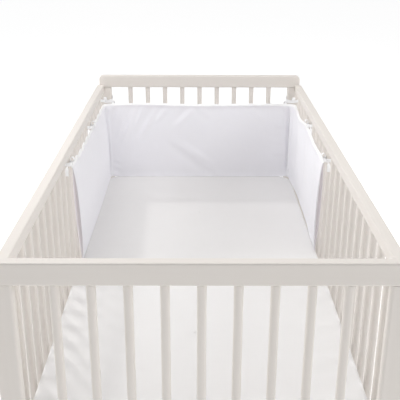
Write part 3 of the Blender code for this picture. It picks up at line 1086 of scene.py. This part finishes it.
@dataclass
class SheetedMattress:
    """The mattress in its fitted sheet: soft edges, a slight crown and pulls at the corners."""

    low: Vector
    high: Vector
    corner: float = 0.050
    edge: float = 0.010
    crown: float = 0.0015
    lump: float = 0.0010
    pull: float = 0.0014
    pull_turns: float = 26.0
    pull_round: float = 0.06
    pull_middle: float = 0.03
    pull_reach: float = 0.05
    around: int = 420
    hole: float = 0.002
    under: tuple[float, ...] = (0.26, 0.16, 0.06)
    cotton: WovenCotton = WovenCotton(
        "mattress_cotton", (0.765, 0.752, 0.747), (0.738, 0.724, 0.719), thread=0.0007)

    def outline(self, inset: float, around: int) -> np.ndarray:
        """Points round the plan, drawn in by an inset.

        Args:
            inset: How far in from the side.
            around: Number of points.

        Returns:
            The points, one row each.
        """
        half = np.array([(self.high.x - self.low.x) / 2, (self.high.y - self.low.y) / 2]) - inset
        radius = min(max(self.corner - inset * 0.4, 0.006), float(half.min()) * 0.999)
        inner = half - radius
        arc = math.pi / 2 * radius
        runs = [2 * inner[1], arc, 2 * inner[0], arc] * 2
        whole = float(sum(runs))
        points = []
        for distance in np.linspace(0.0, whole, around, endpoint=False):
            side = 0
            while distance > runs[side]:
                distance -= runs[side]
                side += 1
            quarter, on_arc = divmod(side, 2)
            turn = math.pi / 2 * quarter
            if on_arc:
                angle = distance / radius
                local = (inner[0 if quarter % 2 == 0 else 1] + radius * math.cos(angle),
                         inner[1 if quarter % 2 == 0 else 0] + radius * math.sin(angle))
            else:
                reach = inner[1 if quarter % 2 == 0 else 0]
                local = (half[0 if quarter % 2 == 0 else 1], -reach + distance)
            points.append((local[0] * math.cos(turn) - local[1] * math.sin(turn),
                           local[0] * math.sin(turn) + local[1] * math.cos(turn)))
        return np.array(points)

    def build(self) -> bpy.types.Object:
        """Build the mattress.

        Returns:
            The mattress in its sheet.
        """
        high = self.high.z - self.low.z
        inmost = (self.high.x - self.low.x) / 2 - self.hole
        stations: list[tuple[float, float]] = [(inset, 0.0) for inset in (inmost, *self.under)]
        turns = np.linspace(0.0, math.pi / 2, 7)
        stations += [(self.edge * (1 - math.sin(t)), self.edge * (1 - math.cos(t))) for t in turns]
        stations += [(0.0, h) for h in np.linspace(self.edge, high - self.edge, 8)[1:-1]]
        stations += [(self.edge * (1 - math.cos(t)), high - self.edge * (1 - math.sin(t))) for t in turns]
        stations += [(inset, high) for inset in np.linspace(self.edge, inmost, 30)[1:]]
        rings, spots = [], []
        walked = 0.0
        before = stations[0]
        for inset, height in stations:
            walked += math.hypot(inset - before[0], height - before[1])
            before = (inset, height)
            plan = self.outline(inset, self.around)
            rings.append(np.column_stack([plan, np.full(self.around, self.low.z + height)]))
            spots.append(plan if height >= high - 1e-6 else plan + walked)
        points = np.array(rings)
        middle = np.array([(self.low.x + self.high.x) / 2, (self.low.y + self.high.y) / 2])
        points[:, :, :2] += middle
        self.settle(points, high)
        faces = closed_faces(len(rings), self.around)
        return mesh_object("mattress_sheeted", points.reshape(-1, 3), faces, self.cotton.material(),
                           np.array(spots).reshape(-1, 2))

    def settle(self, points: np.ndarray, high: float) -> None:
        """Give the top its crown and soft lumps, and the corners the sheet's pulls.

        Args:
            points: Points of the mattress, changed in place.
            high: Height of the mattress.
        """
        x, y, z = points[:, :, 0], points[:, :, 1], points[:, :, 2]
        share = np.clip((z - self.low.z) / high, 0.0, 1.0)
        across = 1.0 - np.square(x / (self.high.x + 1e-6))
        along = 1.0 - np.square(y / (self.high.y + 1e-6)) ** 2
        lumps = np.sin(x * 11.0 + 1.3 * np.sin(y * 4.1)) * np.sin(y * 6.3 + 0.8 * np.sin(x * 7.0))
        points[:, :, 2] += share ** 6 * np.clip(across * along, 0.0, 1.0) * (self.crown + self.lump * lumps)
        side = np.clip(share * (1.0 - share) * 4.0, 0.0, 1.0)
        over, ahead = np.abs(x) - self.high.x, np.abs(y) - self.high.y
        angle = np.arctan2(ahead + self.pull_round, over + self.pull_round)
        near = np.exp(-np.square((over + self.pull_middle) / self.pull_reach)
                      - np.square((ahead + self.pull_middle) / self.pull_reach))
        pull = self.pull * np.sin(angle * self.pull_turns) * near * side
        points[:, :, 0] -= np.sign(x) * pull
        points[:, :, 1] -= np.sign(y) * pull


# Ties

class Hand(Enum):
    """The side of the bar where a tie's free end hangs."""

    BACKWARD = -1
    FORWARD = 1


@dataclass
class TieTape:
    """One cotton tape tied round a bar: a bow loop, a knot and a free end."""

    name: str
    node: str
    holder: str
    middle: Point
    turn: float
    half_deep: float
    half_wide: float
    slant: float
    hand: Hand
    wide: float = 0.010
    thick: float = 0.0011
    clear: float = 0.0014
    tape_turn: float = 0.0040
    knot_span: float = 0.0050
    knot_play: float = 0.0012
    knot_out: float = 0.0045
    knot_angle: float = 2.6 * math.pi
    knot_steps: int = 27
    knot_deep: float = 0.0036
    knot_high: float = 0.0040
    knot_lift: float = 0.0005
    knot_start: float = 0.0016
    knot_tilt: float = 0.25
    knot_wide: float = 0.0062
    knot_thick: float = 0.0016
    steps: int = 5

    def route(self) -> list[tuple[Point, Point]]:
        """Points along the tape and the way that its width faces, about the bar's middle.

        Returns:
            Rows of a point and a direction, from the bow loop to the free end.
        """
        deep = self.half_deep + self.clear
        wide = self.half_wide + self.clear
        turn_deep = deep - self.tape_turn
        turn_wide = wide - self.tape_turn
        near = min(self.knot_span, turn_wide - self.knot_play)
        slant = self.slant
        up = (0.0, 0.0, 1.0)
        over = (0.0, 1.0, 0.0)
        rows = [
            ((deep + 0.0045, 0.0010, 0.0020), over),
            ((deep + 0.0090, 0.0015, 0.0060), over),
            ((deep + 0.0120, 0.0020, 0.0110), over),
            ((deep + 0.0090, 0.0020, 0.0170), over),
            ((deep + 0.0040, 0.0015, 0.0165), over),
            ((deep + 0.0020, 0.0010, 0.0115), over),
            ((deep + 0.0028, 0.0000, 0.0050), over),
            ((deep + 0.0040, 0.0010, 0.0010), (0.0, 0.6, 1.0)),
            ((deep + 0.0012, near, 0.0000), up),
            ((deep, turn_wide, slant * 0.2), up),
            ((turn_deep, wide, slant * 0.3), up),
            ((-turn_deep, wide, slant * 0.7), up),
            ((-deep, turn_wide, slant * 0.8), up),
            ((-deep, -turn_wide, slant * 0.8), up),
            ((-turn_deep, -wide, slant * 0.7), up),
            ((turn_deep, -wide, slant * 0.3), up),
            ((deep, -turn_wide, slant * 0.2), up),
            ((deep + 0.0012, -near, 0.0000), up),
            ((deep + 0.0045, -0.0010, 0.0000), up),
            ((deep + 0.0058, -0.0070, 0.0005), up),
            ((deep + 0.0030, -wide - 0.0020, 0.0000), (0.0, -0.3, 1.0)),
            ((deep - 0.0030, -wide - 0.0060, -0.0030), (0.1, -1.0, 0.6)),
            ((deep - 0.0055, -wide - 0.0070, -0.0110), (1.0, -0.5, 0.0)),
            ((deep - 0.0068, -wide - 0.0072, -0.0210), (1.0, -0.2, 0.0)),
            ((deep - 0.0072, -wide - 0.0065, -0.0320), (1.0, 0.0, 0.0)),
        ]
        way = self.hand.value
        return [((x, way * y, z), (a, way * b, c)) for (x, y, z), (a, b, c) in rows]

    def place(self, local: np.ndarray) -> np.ndarray:
        """Move points from the bar's own frame to the crib's."""
        turn = np.array(Matrix.Rotation(self.turn, 3, "Z"))
        return local @ turn.T + np.array(self.middle)

    def build(self, material: bpy.types.Material) -> tuple[bpy.types.Object, bpy.types.Object, float]:
        """Build the tape and its knot.

        Args:
            material: Finish of the tape.

        Returns:
            The tape, the knot and the tape's length.
        """
        rows = self.route()
        centres, widths = (smooth_line(np.array([row[k] for row in rows]), self.steps) for k in (0, 1))
        points, spots, length = tape_points(centres, widths, self.wide, self.thick)
        tape = tape_object(self.name, self.place(points), spots, material)
        turns = np.linspace(0.0, self.knot_angle, self.knot_steps)
        core = np.stack([
            self.half_deep + self.clear + self.knot_out + self.knot_deep * np.cos(turns),
            self.hand.value * (self.knot_start - 2 * self.knot_start * turns / turns[-1]),
            self.knot_lift + self.knot_high * np.sin(turns),
        ], axis=1)
        facing = np.stack([np.zeros_like(turns), np.ones_like(turns), self.knot_tilt * np.cos(turns)], axis=1)
        wrap, wrap_spots, _ = tape_points(core, facing, self.knot_wide, self.knot_thick)
        knot = tape_object(f"{self.name}_knot", self.place(wrap), wrap_spots, material)
        return tape, knot, length


def smooth_line(points: np.ndarray, steps: int) -> np.ndarray:
    """A smooth line through points.

    Args:
        points: Points to pass through, one row each.
        steps: Steps between two points.

    Returns:
        The points of the line.
    """
    padded = np.concatenate([[2 * points[0] - points[1]], points, [2 * points[-1] - points[-2]]])
    line = []
    for k in range(1, len(padded) - 2):
        before, start, end, after = padded[k - 1:k + 3]
        slope = end - before
        bend = 2 * before - 5 * start + 4 * end - after
        twist = 3 * start - before - 3 * end + after
        for t in np.linspace(0.0, 1.0, steps, endpoint=False):
            line.append(0.5 * (2 * start + slope * t + bend * t ** 2 + twist * t ** 3))
    line.append(points[-1])
    return np.array(line)


# Section of a tape, as shares of its width and thickness
TAPE_SECTION = (
    (-0.5, 0.0), (-0.46, 0.5), (-0.28, 0.36), (0.0, 0.42), (0.28, 0.36), (0.46, 0.5),
    (0.5, 0.0), (0.46, -0.5), (0.28, -0.36), (0.0, -0.42), (-0.28, -0.36), (-0.46, -0.5),
)


def tape_points(centres: np.ndarray, widths: np.ndarray, wide: float,
                thick: float) -> tuple[np.ndarray, np.ndarray, float]:
    """Rings of points round a flat tape with fuller edges.

    Args:
        centres: Middle of the tape at each step.
        widths: The way that its width faces at each step.
        wide: Width of the tape.
        thick: Thickness of the tape.

    Returns:
        The points, their places on the tape, and the tape's length.
    """
    along = np.gradient(centres, axis=0)
    along /= np.linalg.norm(along, axis=1, keepdims=True)
    across = widths - along * np.sum(widths * along, axis=1, keepdims=True)
    across /= np.linalg.norm(across, axis=1, keepdims=True)
    facing = np.cross(along, across)
    walked = np.concatenate([[0.0], np.cumsum(np.linalg.norm(np.diff(centres, axis=0), axis=1))])
    points, spots = [], []
    for step, centre in enumerate(centres):
        for side, face in TAPE_SECTION:
            points.append(centre + across[step] * side * wide + facing[step] * face * thick)
            spots.append((walked[step], side * wide))
    return np.array(points), np.array(spots), float(walked[-1])


def tape_object(name: str, points: np.ndarray, spots: np.ndarray,
                material: bpy.types.Material) -> bpy.types.Object:
    """A tape piece from its rings, closed at both ends."""
    around = len(TAPE_SECTION)
    return mesh_object(name, points, closed_faces(len(points) // around, around), material, spots)


@dataclass
class Ties:
    """All six ties, each on the place of its solid."""

    slat_half: tuple[float, float] = (0.0090, 0.0085)
    post_half: tuple[float, float] = (0.0090, 0.0220)
    post_slant: float = 0.016
    slat_x: float = 0.368
    post_x: float = 0.349
    end_plane: float = 0.718
    loop_top: float = 0.01765
    cotton: WovenCotton = WovenCotton(
        "tape_cotton", (0.950, 0.948, 0.955), (0.905, 0.903, 0.910), thread=0.0008)

    def tapes(self) -> list[TieTape]:
        """The six tapes with their places.

        Returns:
            The tapes, from the left end to the right end.
        """
        rows = (
            # node, holder, bar's middle, turn, on a post, hand
            ("tie_left_end", "side_slats_left", (-self.slat_x, 0.0), 0.0, False, Hand.FORWARD),
            ("tie_left_middle", "side_slats_left", (-self.slat_x, 6 * SLAT_PITCH), 0.0, False, Hand.FORWARD),
            ("tie_left_corner", "head_post_left", (-self.post_x, self.end_plane), -math.pi / 2, True,
             Hand.BACKWARD),
            ("tie_right_corner", "head_post_right", (self.post_x, self.end_plane), -math.pi / 2, True,
             Hand.FORWARD),
            ("tie_right_middle", "side_slats_right", (self.slat_x, 6 * SLAT_PITCH), math.pi, False,
             Hand.BACKWARD),
            ("tie_right_end", "side_slats_right", (self.slat_x, SLAT_PITCH), math.pi, False, Hand.BACKWARD),
        )
        tapes = []
        for node, holder, (x, y), turn, on_post, hand in rows:
            deep, wide = self.post_half if on_post else self.slat_half
            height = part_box(node)[1].z - self.loop_top
            slant = self.post_slant if on_post else 0.0
            tapes.append(TieTape(f"{node}_tape", node, holder, (x, y, height), turn, deep, wide, slant, hand))
        return tapes

    def build(self) -> None:
        """Build the tapes and their knots, and log each tape's length."""
        material = self.cotton.material()
        for tape in self.tapes():
            piece, knot, length = tape.build(material)
            for part in (piece, knot):
                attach(part, BODY)
            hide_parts(tape.node)
            LOG.info("%s: tape %.0f mm long", tape.name, 1000.0 * length)


# Timber

@dataclass
class Timber:
    """The crib's own nodes, painted, and the bare board that carries the mattress."""

    frame: dict

    def dress(self) -> None:
        """Give each timber node the finish whose grain runs along it."""
        finishes = {grain: PaintedTimber(f"paint_{grain.name.lower()}", grain).material() for grain in Grain}
        # The board's third colour is its lighter edges: painted highlight, in patches like wear
        board = PaintedTimber("base_board", Grain.ALONG_Y, (0.70, 0.62, 0.50), (0.62, 0.53, 0.41),
                              (0.74, 0.67, 0.56), 0.62).material()
        for name, node in self.frame["nodes"].items():
            on_board = "ledger" in name or name == "mattress_base"
            if on_board or "rail" in name or "post" in name or "slat" in name:
                node.data.materials.clear()
                node.data.materials.append(board if on_board else finishes[self.grain(name)])
        LOG.info("timber painted")

    @staticmethod
    def grain(name: str) -> Grain:
        """The grain's way in a node, from its name."""
        if "side" in name and "rail" in name:
            return Grain.ALONG_Y
        return Grain.ALONG_X if "rail" in name else Grain.ALONG_Z


# Studio

@dataclass(frozen=True)
class Softbox:
    """A broad square light that the camera doesn't see."""

    name: str
    place: Point
    towards: Point
    side: float
    power: float

    def hang(self) -> None:
        """Add the light to the scene."""
        light = bpy.data.lights.new(self.name, "AREA")
        light.shape = "SQUARE"
        light.size = self.side
        light.energy = self.power
        lamp = to_scene(self.name, light)
        lamp.location = self.place
        lamp.rotation_euler = (Vector(self.towards) - Vector(self.place)).to_track_quat("-Z", "Y").to_euler()
        lamp.visible_camera = False


@dataclass
class Studio:
    """The floor, the lights and the camera."""

    floor_half: float = 400.0
    place: Point = (-0.0090, -1.7553, 1.4064)
    yaw: float = 0.0048
    pitch: float = 0.3453
    roll: float = 0.0037
    focal: float = 679.75
    frame_side: float = 400.0
    sensor: float = 36.0
    shift: float = -0.1
    key_way: Point = (0.386, -0.531, -0.755)
    key_power: float = 0.52
    key_angle: float = 5.0
    key_colour: Colour = (1.0, 0.985, 0.965)
    sky: float = 0.37
    sky_colour: Colour = (0.985, 0.99, 1.0)
    boxes: tuple[Softbox, ...] = (
        Softbox("fill_right", (2.3, -1.3, 2.3), (-0.1, 0.3, 0.5), 1.5, 20.0),
        Softbox("high_left", (-0.75, -0.2, 2.1), (0.0, 0.7, 0.6), 0.9, 10.5),
        Softbox("side_left", (-3.0, 0.6, 1.6), (0.0, 0.3, 0.6), 1.5, 38.0),
        Softbox("side_right", (2.8, 0.3, 2.3), (-0.3, 0.3, 0.6), 1.2, 24.0),
        Softbox("fill_top", (0.0, 0.2, 3.0), (0.0, 0.2, 0.5), 1.8, 10.0),
    )

    def build(self) -> None:
        """Build the whole studio."""
        self.lay_floor()
        self.light()
        self.aim()

    def lay_floor(self) -> None:
        """Lay the floor."""
        half = self.floor_half
        points = np.array([(-half, -half, 0.0), (half, -half, 0.0), (half, half, 0.0), (-half, half, 0.0)])
        floor = mesh_object("studio_floor", points, [(0, 1, 2, 3)], StudioFloor().material())

    def light(self) -> None:
        """Add the soft key light from behind and the left, the softboxes and the even sky."""
        for box in self.boxes:
            box.hang()
        key = bpy.data.lights.new("key", "SUN")
        key.energy = self.key_power
        key.angle = math.radians(self.key_angle)
        key.color = self.key_colour
        to_scene("key", key).rotation_euler = Vector(self.key_way).to_track_quat("-Z", "Y").to_euler()
        world = bpy.data.worlds.new("studio_sky")
        bpy.context.scene.world = world
        world.use_nodes = True
        sky = world.node_tree.nodes["Background"]
        sky.inputs["Color"].default_value = opaque(self.sky_colour)
        graph = Graph(world.node_tree)
        seen = graph.node("ShaderNodeLightPath").outputs["Is Camera Ray"]
        graph.feed(sky.inputs["Strength"], graph.spread(seen, 0.0, 1.0, self.sky, 1.0))
        bpy.context.scene.view_settings.view_transform = "Standard"

    def aim(self) -> None:
        """Set up the camera at the photograph's viewing angle."""
        ahead = Vector((math.sin(self.yaw) * math.cos(self.pitch), math.cos(self.yaw) * math.cos(self.pitch),
                        -math.sin(self.pitch)))
        level = Vector((math.cos(self.yaw), -math.sin(self.yaw), 0.0))
        over = level.cross(ahead)
        right = math.cos(self.roll) * level + math.sin(self.roll) * over
        up = -math.sin(self.roll) * level + math.cos(self.roll) * over
        lens = bpy.data.cameras.new("camera")
        lens.sensor_width = self.sensor
        lens.lens = self.focal * self.sensor / self.frame_side
        lens.shift_y = self.shift
        lens.clip_end = 100.0
        camera = to_scene("camera", lens)
        turn = Matrix((right, up, -ahead)).transposed().to_4x4()
        camera.matrix_world = Matrix.Translation(self.place) @ turn
        bpy.context.scene.camera = camera


def dress_bumper() -> None:
    """Build the bumper on the place of its solid."""
    low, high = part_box("bumper")
    run = Run(back_half=high.x, back_head=high.y, left_end=low.y)
    pad, stitching = BumperPad(run, low.z).build()
    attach(pad, BODY)
    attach(stitching, BODY)
    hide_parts("bumper")
    LOG.info("bumper: %d faces, run %.3f m", len(pad.data.polygons), run.total)


def dress_mattress() -> None:
    """Build the mattress on the place of its solid."""
    mattress = SheetedMattress(*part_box("mattress")).build()
    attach(mattress, BODY)
    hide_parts("mattress")
    LOG.info("mattress: %d faces", len(mattress.data.polygons))


def main() -> None:
    """Build each piece in order."""
    logging.basicConfig(level=logging.INFO, format="%(name)s: %(message)s")
    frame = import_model()
    Timber(frame).dress()
    dress_mattress()
    dress_bumper()
    Ties().build()
    Studio().build()
    bpy.context.view_layer.update()


if __name__ == "__main__":
    main()
